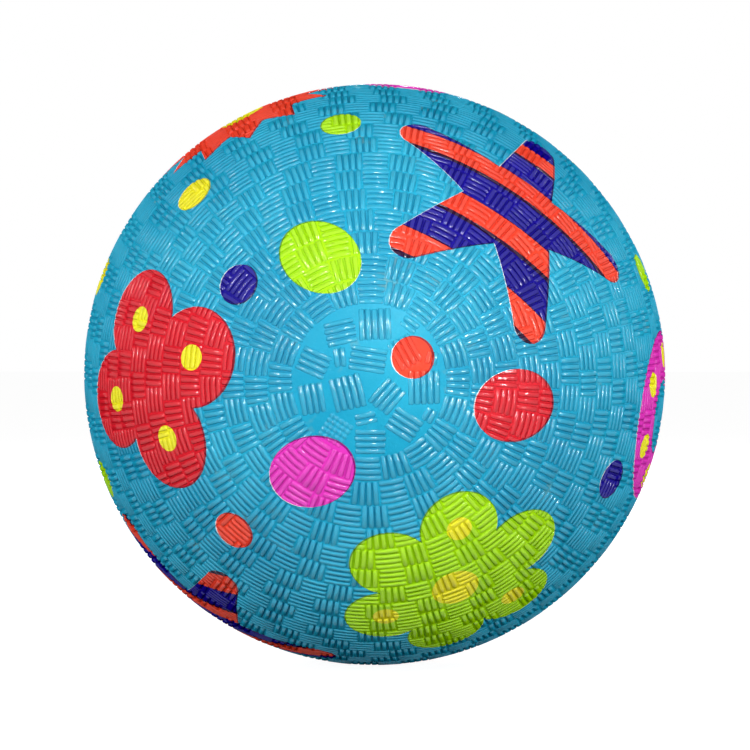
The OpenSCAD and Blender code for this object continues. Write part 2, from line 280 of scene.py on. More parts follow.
def spread_blocks():
    """The middles of the pole blocks, pushed apart so that none touches another or leaves the cap."""
    rows = np.array([block[:5] for block in POLE_BLOCKS])
    struck = np.array([block[5] for block in POLE_BLOCKS])
    middles, turn = rows[:, :2].copy(), np.radians(rows[:, 2])
    long = rows[:, 3] / 2 + np.where(struck, ROOM_STRUCK, ROOM_ALONG)
    wide = np.where(struck, long, ((rows[:, 4] - 1) * POLE_PITCH + RIB_FOOT) / 2 + ROOM_ACROSS)
    axes = np.stack([np.cos(turn), np.sin(turn), -np.sin(turn), np.cos(turn)], -1).reshape(-1, 2, 2)
    spans = np.stack([long, wide], -1)
    signs = np.array([(-1, -1), (1, -1), (1, 1), (-1, 1)])
    corners = np.einsum("ca,na,nak->nck", signs, spans, axes)
    one, other = np.triu_indices(len(rows), 1)
    ways = np.concatenate([axes[one], axes[other]], 1)
    room = sum(np.einsum("pa,pwa->pw", spans[each], np.abs(np.einsum("pwk,pak->pwa", ways, axes[each])))
               for each in (one, other))
    pairs, blocks = np.arange(len(one)), np.arange(len(rows))
    for _ in range(PUSHES):
        apart = np.einsum("pwk,pk->pw", ways, middles[other] - middles[one])
        best = (np.abs(apart) - room).argmax(1)
        apart, needed = apart[pairs, best], room[pairs, best] + BLOCKS_APART
        push = np.sign(apart) * np.maximum(needed - np.abs(apart), 0) * PUSH_SHARE
        push = ways[pairs, best] * push[:, None]
        np.add.at(middles, one, -push)
        np.add.at(middles, other, push)
        tips = middles[:, None] + corners
        far = np.hypot(tips[..., 0], tips[..., 1])
        worst = far.argmax(1)
        over = np.maximum(1 - POLE_REACH / far[blocks, worst], 0)
        middles -= tips[blocks, worst] * over[:, None]
    return middles


def pole_cap(shell, rng, loop):
    """The odd blocks and bare triangles round the plain pole, inside the first ring's inner loop."""
    places = shell.points()
    rim = places[loop[0]]
    outline = BALL_R * rim[:, :1] * np.stack([np.sin(rim[:, 1]), np.cos(rim[:, 1])], -1)
    ids, flat = [loop[0]], [outline]
    borders = []
    for (_, _, angle, length, ribs, struck_twice), middle in zip(POLE_BLOCKS, spread_blocks()):
        if struck_twice:
            across, along, height = waffle_grid(POLE_PITCH, length, ribs)
        else:
            across, along, height = rib_grid(rng, POLE_PITCH, length, ribs)
        x, z = turned(along, across, angle)
        x, z = x + middle[0], z + middle[1]
        made = shell.add(np.hypot(x, z) / BALL_R, np.arctan2(x, z), FLOOR_R + height * POLE_LIFT)
        shell.quads.append(grid_quads(made))
        edge = np.concatenate([made[:, 0], made[-1, 1:], made[-2::-1, -1], made[0, -2:0:-1]])
        local = edge - made[0, 0]
        border = np.stack([x.ravel()[local], z.ravel()[local]], -1)
        ids.append(edge)
        flat.append(border)
        borders.append(border)
    reach = BALL_R * math.radians(CAP_DEG)
    rows = np.arange(-reach, reach, FLOOR_STEP)
    loose = np.array([(x + (k % 2) * FLOOR_STEP / 2, z) for k, z in enumerate(rows) for x in rows])
    keep = np.hypot(*loose.T) < reach - FLOOR_TO_RIM
    for border in borders:
        keep &= np.min(np.hypot(*(loose[:, None] - border[None]).transpose(2, 0, 1)), 1) > FLOOR_TO_BLOCK
        keep &= ~inside(loose, border)
    loose = loose[keep]
    ids.append(shell.add(np.hypot(*loose.T) / BALL_R, np.arctan2(loose[:, 0], loose[:, 1]), FLOOR_R))
    edges, start = [], 0
    for part in flat:
        edges += [(start + k, start + (k + 1) % len(part)) for k in range(len(part))]
        start += len(part)
    flat, ids = np.concatenate(flat + [loose]), np.concatenate(ids)
    made = delaunay_2d_cdt([Vector(p) for p in flat], edges, [], 0, WELD)
    spots, faces, origins = np.array([tuple(v) for v in made[0]]), made[2], made[3]
    faces = np.array([f for f in faces if len(f) == 3])
    centres = spots[faces].mean(1)
    keep = inside(centres, outline)
    for border in borders:
        keep &= ~inside(centres, border)
    index = np.array([ids[o[0]] if o else -1 for o in origins])
    faces = index[faces[keep]]
    shell.skin += [tuple(f) for f in faces if (f >= 0).all() and len(set(f)) == 3]


def lining(shell, outer_loop, end_deg):
    """The flat edge at the parting line and the inner face. Returns the inner face's last loop."""
    loop = shell.circle(math.radians(90), COVER_IN_R, LINING_POINTS)
    shell.wall += zip_loops(outer_loop, loop)
    for degrees in np.linspace(90, end_deg, LINING_RINGS)[1:]:
        following = shell.circle(math.radians(degrees), COVER_IN_R, LINING_POINTS)
        shell.lining += zip_loops(loop, following)
        loop = following
    return loop


def half(seed, valve):
    """One mould half of the cover: woven skin, parting bead, flat edge and inner face."""
    rng = np.random.default_rng(seed)
    shell = Shell()
    pitch = (WEAVE_END_DEG - CAP_DEG) / RING_COUNT
    steps = [(CAP_DEG + k * pitch, CAP_DEG + (k + 1) * pitch) for k in range(RING_COUNT)]
    if valve:
        middle = (PAD_RING_DEG + CAP_DEG) / 2
        steps = [(PAD_RING_DEG, middle), (middle, CAP_DEG)] + steps
    last = first = None
    for low, high in steps:
        around = FULL_TURN * BALL_R * math.sin(math.radians((low + high) / 2))
        count = 2 * round(around / BLOCK_W / 2)
        inner, outer = weave_ring(shell, rng, low, high, count, rng.uniform(0, FULL_TURN))
        if last:
            shell.skin += zip_loops(last, inner)
        first, last = first or inner, outer
    bead_profile = [(WEAVE_END_DEG, FLOOR_R), (WEAVE_END_DEG + BEAD_FOOT[0], FLOOR_R + BEAD_FOOT[1]),
                    (WEAVE_END_DEG + BEAD_SHOULDER[0], BALL_R + BEAD_SHOULDER[1]), (90, BALL_R + PARTING_H)]
    for degrees, radius in bead_profile:
        bead = shell.circle(math.radians(degrees), radius, BEAD_POINTS)
        shell.skin += zip_loops(last, bead)
        last = bead
    if not valve:
        pole_cap(shell, rng, first)
        ids, _ = lining(shell, last, LINING_END_DEG)
        middle = shell.add(0.0, 0.0, COVER_IN_R).ravel()[0]
        shell.lining += [(a, b, middle) for a, b in zip(ids, np.roll(ids, -1))]
        return shell
    outside, within = PAD_D / 2 + PAD_GROOVE_W / 2, PAD_D / 2 - PAD_GROOVE_W / 2
    bottom = BALL_R - PAD_GROOVE_T
    profile = [(outside + PAD_FOOT, FLOOR_R), (outside, FLOOR_R - PAD_ROUND), (outside - PAD_SLOPE, bottom),
               (within + PAD_SLOPE, bottom), (within, BALL_R - PAD_ROUND), (within - PAD_SLOPE, BALL_R),
               (PAD_LOOP_R, BALL_R), (NECK_HOLE_R + HOLE_ROUND[0], BALL_R),
               (NECK_HOLE_R, BALL_R - HOLE_ROUND[1])]
    loop = first
    for radius, level in profile:
        following = shell.circle(math.asin(radius / level), level, PAD_POINTS)
        shell.skin += zip_loops(loop, following)
        loop = following
    end = math.degrees(math.asin(NECK_HOLE_R / COVER_IN_R))
    shell.hole += zip_loops(loop, lining(shell, last, end))
    return shell


def facing(places, faces, towards):
    """The triangles with their corners ordered so that each faces the given direction."""
    a, b, c = (places[faces[:, k]] for k in range(3))
    back = (np.cross(b - a, c - a) * towards(places[faces].mean(1))).sum(1) < 0
    faces = faces.copy()
    faces[back] = faces[back][:, ::-1]
    return faces


def mark_sharp(mesh, low):
    """Makes corners sharp, and each rib's foot, but not its shoulders. low marks the floor's points."""
    masks = []
    for degrees in (FOOT_DEG, CORNER_DEG):
        mesh.set_sharp_from_angle(angle=math.radians(degrees))
        masks.append(np.zeros(len(mesh.edges), bool))
        mesh.edges.foreach_get("use_edge_sharp", masks[-1])
    ends = np.zeros(len(mesh.edges) * 2, np.int32)
    mesh.edges.foreach_get("vertices", ends)
    foot = low[ends.reshape(-1, 2)].all(1)
    mesh.edges.foreach_set("use_edge_sharp", masks[1] | (masks[0] & foot))


def write_mesh(name, places, faces, nodes, flat_maps, lifts, low):
    """An object on the root from places in millimetres and arrays of faces, which may replace CAD nodes."""
    mesh = bpy.data.meshes.new(name)
    corners = np.concatenate([part.ravel() for part in faces])
    sizes = np.concatenate([np.full(len(part), part.shape[1]) for part in faces])
    mesh.vertices.add(len(places))
    mesh.vertices.foreach_set("co", (places * MM).astype(np.float32).ravel())
    mesh.loops.add(len(corners))
    mesh.loops.foreach_set("vertex_index", corners.astype(np.int32))
    mesh.polygons.add(len(sizes))
    mesh.polygons.foreach_set("loop_start", (np.cumsum(sizes) - sizes).astype(np.int32))
    mesh.polygons.foreach_set("use_smooth", np.ones(len(sizes), bool))
    mesh.uv_layers.new(name="OFBake").data.foreach_set("uv", flat_maps.astype(np.float32).ravel())
    mesh.attributes.new("lift", "FLOAT", "POINT").data.foreach_set("value", lifts.astype(np.float32))
    mesh.update(calc_edges=True)
    mark_sharp(mesh, low)
    made = bpy.data.objects.new(name, mesh)
    bpy.context.scene.collection.objects.link(made)
    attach(made, "root")
    if nodes:
        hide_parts(*nodes)
    return made


def disc_map(polar, clock, disc):
    """Flat map places of a half ball, as a disc with the pole at its middle."""
    centre, size = disc
    share = polar / math.radians(90) * size
    return centre + share[:, None] * np.stack([np.sin(clock), np.cos(clock)], -1)


def cover_piece(name, shell, side):
    """Writes one half of the cover and returns its skin's places and outward triangles, for the print."""
    polar, clock, radius = shell.points().T
    places = ball_points(polar, clock, radius, side)
    quads = np.concatenate(shell.quads)
    a, b, c, d = (places[quads[:, k]] for k in range(4))
    back = (np.cross(c - a, d - b) * places[quads].mean(1)).sum(1) < 0
    quads[back] = quads[back][:, ::-1]
    skin = facing(places, np.array(shell.skin), lambda p: p)
    wall = facing(places, np.array(shell.wall), lambda p: p * 0 + (0, -side, 0))
    lined = facing(places, np.array(shell.lining), lambda p: -p)
    parts = [(quads, "skin"), (skin, "skin"), (wall, "wall"), (lined, "lining")]
    if shell.hole:
        parts.append((facing(places, np.array(shell.hole), lambda p: p * (-1, 0, -1)), "hole"))
    outer = disc_map(polar, clock, SKIN_DISC)
    on_lining = radius[:, None] < COVER_IN_R + NEAR
    flat_maps = {
        "skin": outer,
        "wall": np.where(on_lining, disc_map(polar, clock, EDGE_DISC), outer),
        "lining": disc_map(polar, clock, LINING_DISC),
        "hole": np.where(on_lining, disc_map(polar, clock, HOLE_DISC), outer),
    }
    corners = np.concatenate([flat_maps[kind][part].reshape(-1, 2) for part, kind in parts])
    lifts = np.clip((radius - FLOOR_R) / RIB_H, -1, 1)
    low = abs(radius - FLOOR_R + GROOVE / 2) < GROOVE / 2 + NEAR
    faces = [part for part, _ in parts]
    made = write_mesh("woven_" + name, places, faces, [name], corners, lifts, low)
    triangles = np.concatenate([skin, quads[:, [0, 1, 2]], quads[:, [0, 2, 3]]])
    return made, places, triangles


cover_front, front_places, front_faces = cover_piece("cover_front", half(FRONT_SEED, valve=False), -1)
cover_back, back_places, back_faces = cover_piece("cover_back", half(BACK_SEED, valve=True), 1)


# Print: thin films that follow the ribs, cut from copies of the skin

# Sizes that part.scad has too
STAR_D, STAR_TIP_D, STAR_WAIST_D = 98.0, 13.0, 38.0
STRIPE_W, STRIPE_PITCH, STRIPE_COUNT = 9.0, 23.0, 4
PETAL_D, PETAL_REACH, LEAF_D, LEAF_REACH = 28.0, 27.0, 35.0, 22.0
RING_D, RING_HOLE_D, SUN_D, SUN_BODY_D = 62.0, 27.0, 72.0, 52.0
EYE_D, SPOT_D, OVAL_LEN, OVAL_W, DOT_D = 17.0, 9.0, 31.0, 25.0, 14.5
STAR_POINTS, PETALS, LEAVES, RAYS, RING_SPOTS = 5, 6, 4, 12, 6

# How far the film's face and its underside lie from the skin
FILM_OUT, FILM_IN = 0.045, -0.02
# The white base is a little smaller than the colours, each of which was printed off it by its own amount
BASE_CHOKE = 0.22
BASE_SHIFTS = {"navy": (0.45, -0.20), "coral": (0.60, 0.15), "lime": (-0.30, 0.20), "yellow": (0.40, 0.10),
               "red": (0.50, -0.15), "magenta": (0.42, 0.30)}
# How far a rib's lift may carry the print towards the pole, for each millimetre that it is high
PRESS_MOST = 1.3
# Coral is printed over navy along one side of each stripe, and barely along the other
OVERPRINT_W, OVERPRINT_THIN_W = 1.6, 0.3

# Skin taken round a motif before it is cut out
MOTIF_MARGIN = 4
# Edges longer than LONGEST are halved if a border is nearer than this share of their length
HALVINGS, LONGEST, NEAR_SHARE = 3, 0.8, 1.05
# How near a cut comes to an edge's end, as a share of the edge, and a field to zero at a point
CUT_SHARE, LEAST_LEVEL = 0.02, 1e-4
# Unevenness of the print's edges: how much, and its waves in x, in z, and in z and y together
WOBBLE = 0.05
WAVE_X, WAVE_Z, WAVE_ZY, WAVE_BEND = 1.9, 1.1, (2.3, 1.7), 1.3
# How far past an arm's waist the outline of its body is taken
PAST_WAIST_DEG = 20
# The least slope and radius that a field is divided by
LEAST_SLOPE, LEAST_R = 1e-6, 1e-9


def circle_field(x, y, radius, cx=0.0, cy=0.0):
    """Distance outside a circle, negative inside. All fields here are of this kind."""
    return np.hypot(x - cx, y - cy) - radius


def circles_field(x, y, radius, reach, count, step=1):
    turns = [FULL_TURN * k / count for k in range(0, count, step)]
    return np.min([circle_field(x, y, radius, reach * math.cos(t), reach * math.sin(t)) for t in turns], 0)


def arms_field(x, y, count, start, corners):
    """Distance outside a shape of equal arms, given half an arm's outline from its tip to its waist."""
    step = FULL_TURN / count
    angle = abs((np.arctan2(y, x) - math.radians(start) + step / 2) % step - step / 2)
    size = np.hypot(x, y)
    points = np.stack([size * np.cos(angle), size * np.sin(angle)], -1)
    nearest = np.full(len(x), np.inf)
    for p, q in zip(corners, corners[1:]):
        along = np.clip(((points - p) @ (q - p)) / ((q - p) @ (q - p)), 0, 1)
        nearest = np.minimum(nearest, np.hypot(*(points - p - along[:, None] * (q - p)).T))
    waist = corners[-1]
    past = turned(waist[0], waist[1], PAST_WAIST_DEG)
    body = np.array([(-1, -1), (corners[0][0], -1), *corners, past, (-1, 1)])
    return np.where(inside(points, body), -nearest, nearest)


def oval_field(x, y):
    """Very nearly the distance outside an ellipse."""
    a, b = OVAL_W / 2, OVAL_LEN / 2
    share, slope = np.hypot(x / a, y / b), np.hypot(x / a ** 2, y / b ** 2)
    return share * (share - 1) / np.maximum(slope, LEAST_SLOPE)


def petals_field(x, y, petal_d, reach, count):
    """A round body with round petals or leaves, whose middles lie on its rim."""
    return np.minimum(circle_field(x, y, reach), circles_field(x, y, petal_d / 2, reach, count))


def on_circle(radius, degrees):
    return np.array(turned(radius, 0.0, degrees))


TIP_STEP_DEG = 15
SUN_ARM = [on_circle(SUN_D / 2, 0), on_circle(SUN_BODY_D / 2, 180 / RAYS)]
STAR_ARM = [on_circle(STAR_D / 2 - STAR_TIP_D / 2, 0) + on_circle(STAR_TIP_D / 2, turn)
            for turn in range(0, 91, TIP_STEP_DEG)]
STAR_ARM.append(on_circle(STAR_WAIST_D / 2, 180 / STAR_POINTS))
SPOTS_REACH = (RING_D + RING_HOLE_D) / 4
STRIPES = [(k - (STRIPE_COUNT - 1) / 2) * STRIPE_PITCH for k in range(STRIPE_COUNT)]


def stripes_field(x, y):
    return np.min([abs(y - middle) - STRIPE_W / 2 for middle in STRIPES], 0)


def overprint_field(x, y):
    low, high = -STRIPE_W / 2 - OVERPRINT_W, STRIPE_W / 2 + OVERPRINT_THIN_W
    return np.min([np.maximum(low - (y - middle), y - middle - high) for middle in STRIPES], 0)


def eye_field(x, y):
    return circle_field(x, y, EYE_D / 2)


def flower_spots_field(x, y):
    return np.minimum(eye_field(x, y), circles_field(x, y, SPOT_D / 2, PETAL_REACH, PETALS, 2))


def ring_field(x, y):
    return np.maximum(circle_field(x, y, RING_D / 2), -circle_field(x, y, RING_HOLE_D / 2))


# Each motif: its ground colour, its outline, the zones inside it in their order, and how far it reaches
MOTIFS = {
    "star": ("navy", lambda x, y: arms_field(x, y, STAR_POINTS, start=90, corners=STAR_ARM),
             [("coral", stripes_field), ("overprint", overprint_field)], STAR_D / 2),
    "flower": ("lime", lambda x, y: petals_field(x, y, PETAL_D, PETAL_REACH, PETALS),
               [("yellow", flower_spots_field)], PETAL_REACH + PETAL_D / 2),
    "clover": ("red", lambda x, y: petals_field(x, y, LEAF_D, LEAF_REACH, LEAVES),
               [("yellow", lambda x, y: circles_field(x, y, SPOT_D / 2, LEAF_REACH, LEAVES))],
               LEAF_REACH + LEAF_D / 2),
    "sun": ("coral", lambda x, y: arms_field(x, y, RAYS, start=0, corners=SUN_ARM),
            [("yellow", eye_field)], SUN_D / 2),
    "ring": ("magenta", ring_field,
             [("yellow", lambda x, y: circles_field(x, y, SPOT_D / 2, SPOTS_REACH, RING_SPOTS))], RING_D / 2),
}
for ink in ("lime", "magenta", "red"):
    MOTIFS[ink + "_oval"] = (ink, oval_field, [], OVAL_LEN / 2)
for ink in ("navy", "coral", "lime", "yellow"):
    MOTIFS[ink + "_dot"] = (ink, lambda x, y: circle_field(x, y, DOT_D / 2), [], DOT_D / 2)

# Places on the ball: angle from the plain pole, clock angle seen from that side, and turn of the motif
PLACES = {
    "star": [(46, 40, 8), (80, 214, 40), (139, 98, 20)],
    "flower": [(47, 158, 10), (106, 37, 0)],
    "clover": [(46, 270, 20), (106, 157, 65), (138, 334, 10)],
    "sun": [(82, 333, 0), (139, 213, 15)],
    "ring": [(80, 98, 0), (106, 270, 25)],
    "lime_oval": [(25, 338, 30), (110, 308, 60), (114, 190, 80)],
    "magenta_oval": [(20, 212, -35), (85, 6, 75), (104, 72, 20)],
    "red_oval": [(28, 100, 15), (113, 239, 50), (112, 359, 0)],
    "navy_dot": [(31, 306, 0), (59, 113, 0), (113, 127, 0), (156, 262, 0)],
    "coral_dot": [(9, 62, 0), (41, 222, 0), (95, 296, 0), (144, 26, 0)],
    "lime_dot": [(57, 353, 0), (77, 249, 0), (77, 69, 0), (142, 164, 0)],
    "yellow_dot": [(57, 316, 0), (80, 290, 0), (97, 124, 0), (132, 284, 0)],
}


def turn_matrix(axis, degrees):
    c, s = turned(1, 0, degrees)
    if axis == "x":
        return np.array([[1, 0, 0], [0, c, -s], [0, s, c]])
    return np.array([[c, -s, 0], [s, c, 0], [0, 0, 1]])


def place_matrix(place):
    """Turns a motif, drawn looking down on it, to its place on the ball. Its columns are the motif's axes."""
    polar, clock, turn = place
    return turn_matrix("x", 90) @ turn_matrix("z", -clock) @ turn_matrix("x", -polar) @ turn_matrix("z", turn)


def divided(points, faces, at, marked):
    """Splits the triangles that have marked edges, at new points that are numbered in the edges' order.

    at gives each triangle's edges from corner to corner.
    """
    fresh = np.full(len(marked), -1)
    fresh[marked] = len(points) + np.arange(marked.sum())
    cut = fresh[at]
    count = (cut >= 0).sum(1)
    made = [faces[count == 0]]
    for k in range(3):
        a, b, c = (faces[:, (k + j) % 3] for j in range(3))
        ab, bc, ca = (cut[:, (k + j) % 3] for j in range(3))
        one = (count == 1) & (ab >= 0)
        made += [np.stack([a, ab, c], -1)[one], np.stack([ab, b, c], -1)[one]]
        two = (count == 2) & (ca < 0)
        made += [np.stack(corners, -1)[two] for corners in ((ab, b, bc), (a, ab, bc), (a, bc, c))]
    a, b, c = faces.T
    ab, bc, ca = cut.T
    whole = count == 3
    for corners in ((a, ab, ca), (ab, b, bc), (ca, bc, c), (ab, bc, ca)):
        made.append(np.stack(corners, -1)[whole])
    return np.concatenate(made)


def edge_table(faces):
    """The ends of triangles' edges, the edges of each triangle, and how many triangles each edge has."""
    pairs = np.stack([faces, np.roll(faces, -1, 1)], -1).reshape(-1, 2)
    pairs = np.sort(pairs, 1).astype(np.int64)
    size = pairs.max() + 1
    keys, at, uses = np.unique(pairs[:, 0] * size + pairs[:, 1], return_inverse=True, return_counts=True)
    return np.stack([keys // size, keys % size], -1), at.reshape(-1, 3), uses


def refined(points, faces, nearness):
    """Halves the edges near a border until they are short."""
    for _ in range(HALVINGS):
        ends, at, _ = edge_table(faces)
        a, b = points[ends[:, 0]], points[ends[:, 1]]
        length = np.linalg.norm(a - b, axis=1)
        near = nearness(points)
        nearer = np.minimum(near[ends[:, 0]], near[ends[:, 1]])
        marked = (length > LONGEST) & (nearer < length * NEAR_SHARE)
        faces = divided(points, faces, at, marked)
        points = np.concatenate([points, ((a + b) / 2)[marked]])
    return points, faces


def cut_along(points, faces, field):
    """Splits the triangles along the line where a field is zero."""
    level = field(points)
    level = np.where(level >= 0, np.maximum(level, LEAST_LEVEL), np.minimum(level, -LEAST_LEVEL))
    ends, at, _ = edge_table(faces)
    a, b = level[ends[:, 0]], level[ends[:, 1]]
    marked = (a < 0) != (b < 0)
    share = np.clip(a[marked] / (a[marked] - b[marked]), CUT_SHARE, 1 - CUT_SHARE)[:, None]
    faces = divided(points, faces, at, marked)
    fresh = points[ends[marked, 0]] * (1 - share) + points[ends[marked, 1]] * share
    return np.concatenate([points, fresh]), faces


def wobble(p):
    """A slight unevenness of the print's edges, by place on the ball."""
    x, y, z = p.T
    first = WOBBLE * np.sin(x * WAVE_X + WAVE_BEND * np.sin(z * WAVE_Z))
    return first * np.sin(z * WAVE_ZY[0] + y * WAVE_ZY[1])


def pressed(p):
    """Where the print lay before it was pressed on over the ribs, along the mould's axis."""
    radius = np.linalg.norm(p, axis=1)
    round_out = np.hypot(p[:, 0], p[:, 2])
    polar = np.arctan2(round_out, abs(p[:, 1]))
    further = polar + (radius - FLOOR_R) * np.minimum(np.tan(polar), PRESS_MOST) / BALL_R
    scale = FLOOR_R * np.sin(further) / np.maximum(round_out, LEAST_R)
    return np.stack([p[:, 0] * scale, np.sign(p[:, 1]) * FLOOR_R * np.cos(further), p[:, 2] * scale], -1)


def parting(p):
    """Distance inside the band round the parting line, where no film lies."""
    return PARTING_W / 2 + FILM_GAP - abs(p[:, 1])


def print_motif(places, faces, name, place, films):
    """Cuts one motif out of the skin and adds its triangles to the films, by ink."""
    ground, outline, zones, reach = MOTIFS[name]
    axes = place_matrix(place)
    middle = axes[:, 2]
    local = places @ axes
    near = (np.hypot(local[:, 0], local[:, 1]) < reach + MOTIF_MARGIN) & (local[:, 2] > 0)
    mine = faces[near[faces].any(1)]
    if len(mine) == 0:
        return
    used, mine = np.unique(mine, return_inverse=True)
    points, mine = places[used], mine.reshape(-1, 3)
    sideways = np.cross(middle, (0, 0, 1.0))
    sideways /= np.linalg.norm(sideways)
    to_left, to_up = BASE_SHIFTS[ground]
    shift = to_left * sideways - to_up * np.cross(sideways, middle)
    dx, dy = shift @ axes[:, 0], shift @ axes[:, 1]

    def field(kind, dx=0.0, dy=0.0, extra=0.0):
        def level(p):
            q = pressed(p) @ axes
            return kind(q[:, 0] - dx, q[:, 1] - dy) + extra + wobble(p)
        return level

    def put(key, chosen):
        films.setdefault(key, []).append((points, mine[chosen]))

    whole, base = field(outline), field(outline, dx, dy, BASE_CHOKE)
    borders = [whole, base] + [field(kind) for _, kind in zones]
    points, mine = refined(points, mine, lambda p: np.min([abs(b(p)) for b in borders], 0))
    for border in borders + [parting]:
        points, mine = cut_along(points, mine, border)
    centres = points[mine].mean(1)
    in_whole, in_base, off_line = whole(centres) < 0, base(centres) < 0, parting(centres) < 0
    rest = in_whole & off_line
    for ink, kind in zones:
        zone = rest & (field(kind)(centres) < 0)
        rest &= ~zone
        if ink == "overprint":
            put(ink, zone)
        else:
            put(ink, zone & in_base)
            put("edge_" + ink, zone & ~in_base)
    put(ground, rest & in_base)
    put("edge_" + ground, rest & ~in_base)
    put("base", in_base & ~in_whole & off_line)


def film_piece(name, parts, nodes):
    """A closed film from its triangles on the skin: a face, an underside and the walls between them."""
    places, faces, maps, low = [], [], [], []
    start = 0
    for points, mine in parts:
        if len(mine) == 0:
            continue
        used, mine = np.unique(mine, return_inverse=True)
        mine = mine.reshape(-1, 3)
        points = points[used]
        radius = np.linalg.norm(points, axis=1, keepdims=True)
        out = points / radius
        count = len(points)
        _, at, uses = edge_table(mine)
        rim = np.stack([mine, np.roll(mine, -1, 1)], -1)[uses[at] == 1]
        walls = np.stack([rim[:, 0] + count, rim[:, 1] + count, rim[:, 1], rim[:, 0]], -1)
        places += [points + out * FILM_OUT, points + out * FILM_IN]
        faces += [mine + start, mine[:, ::-1] + count + start, walls + start]
        low.append(np.tile(radius[:, 0] < FLOOR_R + NEAR, 2))
        behind = out[:, 1] > 0
        polar = np.arccos(np.clip(np.abs(out[:, 1]), 0, 1))
        flat = disc_map(polar, np.arctan2(out[:, 0], out[:, 2]), FILM_DISC)
        flat[behind] += BACK_SHIFT
        flat = np.concatenate([flat, flat * UNDERSIDE_SHARE])
        maps += [flat[part].reshape(-1, 2) for part in (mine, mine[:, ::-1] + count, walls)]
        start += 2 * count
    places = np.concatenate(places)
    lifts = np.clip((np.linalg.norm(places, axis=1) - FILM_OUT - FLOOR_R) / RIB_H, -1, 1)
    return write_mesh(name, places, faces, nodes, np.concatenate(maps), lifts, np.concatenate(low))


films = {}
for name, places_list in PLACES.items():
    for place in places_list:
        print_motif(front_places, front_faces, name, place, films)
        print_motif(back_places, back_faces, name, place, films)

INKS = ("navy", "coral", "lime", "yellow", "red", "magenta")
ink_pieces = {}
for ink in INKS:
    for key, name in ((ink, "film_" + ink), ("edge_" + ink, "edge_" + ink)):
        ink_pieces[key] = film_piece(name, films[key], ["ink_" + ink])
ink_pieces["overprint"] = film_piece("overprint", films["overprint"], ["ink_navy"])
ink_pieces["base"] = film_piece("print_base", films["base"], [])


# Materials

# Specular level of the raised ribs, roughness of rubber and ink, and scale of their finest grain
GLOSS = 0.52
SMOOTHEST, ROUGHEST = 0.06, 0.14
GRAIN_SCALE = 700.0
# How dark an ink's painted shade on rib flanks and in grooves is, as a share of its colour
INK_PAINTED_SHADE_SHARE = 0.45
# A Mix node's sockets for its factor and two colours, and for the mixed colour
MIX_INPUTS, MIX_RESULT = (0, 6, 7), 2


def srgb(*levels):
    """A colour given in 0 to 255 as Blender's linear values."""
    shares = [v / 255 for v in levels]
    return tuple(v / 12.92 if v <= 0.04045 else ((v + 0.055) / 1.055) ** 2.4 for v in shares) + (1.0,)


def feed(socket, value):
    """Gives a node's socket a fixed value, or links it to another node's socket."""
    if isinstance(value, bpy.types.NodeSocket):
        socket.id_data.links.new(value, socket)
    else:
        socket.default_value = value


def new_node(tree, kind, *numbered, **named):
    """A node whose first sockets are fed in their order, and others by their names with underscores."""
    made = tree.nodes.new("ShaderNode" + kind)
    for socket, value in zip(made.inputs, numbered):
        feed(socket, value)
    for name, value in named.items():
        feed(made.inputs[name.replace("_", " ")], value)
    return made


def new_material(name, colour, roughness, specular=0.5):
    """A material with its node tree, its shader and the place on the object that its patterns follow."""
    made = bpy.data.materials.new(name)
    made.use_nodes = True
    made.diffuse_color = colour
    tree = made.node_tree
    shader = tree.nodes["Principled BSDF"]
    feed(shader.inputs["Base Color"], colour)
    feed(shader.inputs["Roughness"], roughness)
    feed(shader.inputs["Specular IOR Level"], specular)
    return made, tree, shader, new_node(tree, "TexCoord").outputs["Object"]


def noise(tree, space, scale, detail=3.0, rough=0.55):
    made = new_node(tree, "TexNoise", Vector=space, Scale=scale, Detail=detail, Roughness=rough)
    return made.outputs["Fac"]


def ramp(tree, source, low, high, out_low=0.0, out_high=1.0):
    return new_node(tree, "MapRange", source, low, high, out_low, out_high).outputs["Result"]


def combined(tree, one, other, operation="MULTIPLY"):
    made = new_node(tree, "Math", one, other)
    made.operation = operation
    return made.outputs[0]


def blended(tree, factor, one, other):
    """Mixes two colours, each a socket or a fixed colour, by a factor socket."""
    made = new_node(tree, "Mix")
    made.data_type = "RGBA"
    for number, value in zip(MIX_INPUTS, (factor, one, other)):
        feed(made.inputs[number], value)
    return made.outputs[MIX_RESULT]


def bumped(tree, shader, height, strength, distance):
    made = new_node(tree, "Bump", Height=height, Strength=strength, Distance=distance)
    feed(shader.inputs["Normal"], made.outputs["Normal"])


def glossed(tree, shader, rough):
    """Ribs polished on top and matt at their feet, and less gloss at a grazing angle. rough is a socket.

    Returns the lift, which is below 0 in a groove, 0 on the floor and 1 on a rib.
    """
    attribute = new_node(tree, "Attribute")
    attribute.attribute_name = "lift"
    lift = attribute.outputs["Fac"]
    matt = ramp(tree, lift, 0.35, 0.75, out_low=0.34, out_high=0.0)
    feed(shader.inputs["Roughness"], combined(tree, rough, matt, "ADD"))
    weight = new_node(tree, "LayerWeight", Blend=0.5)
    grazing = ramp(tree, weight.outputs["Facing"], 0.14, 0.62, out_low=GLOSS, out_high=0.0)
    high = ramp(tree, lift, 0.3, 0.7, out_low=0.25, out_high=1.0)
    feed(shader.inputs["Specular IOR Level"], combined(tree, grazing, high))
    return lift


def painted_shade_share(tree, space, lift, most, sunk):
    """How far a place is a rib's flank, by its slope to the ball's face, or a groove. Both get painted shade,
    standing in for the shade that falls there.
    """
    outward = new_node(tree, "VectorMath", space)
    outward.operation = "NORMALIZE"
    normal = new_node(tree, "TexCoord").outputs["Normal"]
    level = new_node(tree, "VectorMath", outward.outputs["Vector"], normal)
    level.operation = "DOT_PRODUCT"
    flank = ramp(tree, level.outputs["Value"], 0.66, 0.86, out_low=most, out_high=0.0)
    return combined(tree, flank, ramp(tree, lift, -0.42, -0.05, out_low=sunk, out_high=0.0), "MAXIMUM")


